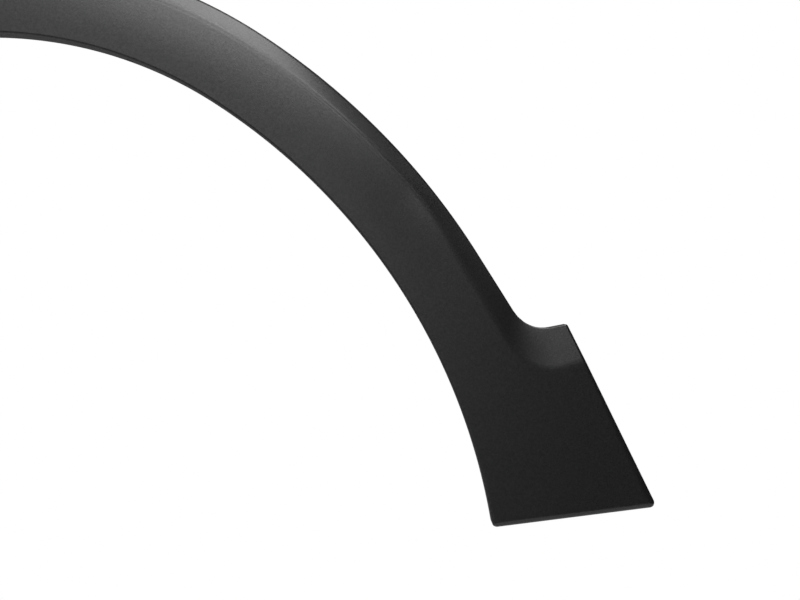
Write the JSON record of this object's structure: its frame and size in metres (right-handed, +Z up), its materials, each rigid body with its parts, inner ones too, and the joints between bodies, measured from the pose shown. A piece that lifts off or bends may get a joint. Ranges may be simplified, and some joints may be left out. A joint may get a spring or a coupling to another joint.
{
  "type": "wheel arch trim",
  "caption": "Black grained plastic trim round a car wheel opening: crowned band with a bevelled rim, return flange, foot plate at one end, and push-in clips at the back.",
  "frame": {"origin": "seat of the top retaining clip on the body panel, above the middle of the wheel opening", "axes": "+X along the car towards the foot plate, +Y into the car, +Z up"},
  "size_m": [0.9709, 0.039, 0.452],
  "materials": {
    "trim_plastic": "fine moulded grain, semi-matt",
    "clip_nylon": "smooth natural nylon"
  },
  "bodies": {
    "root": {"trim_moulding": "trim_plastic", "retaining_clips": "clip_nylon"}
  },
  "joints": []
}
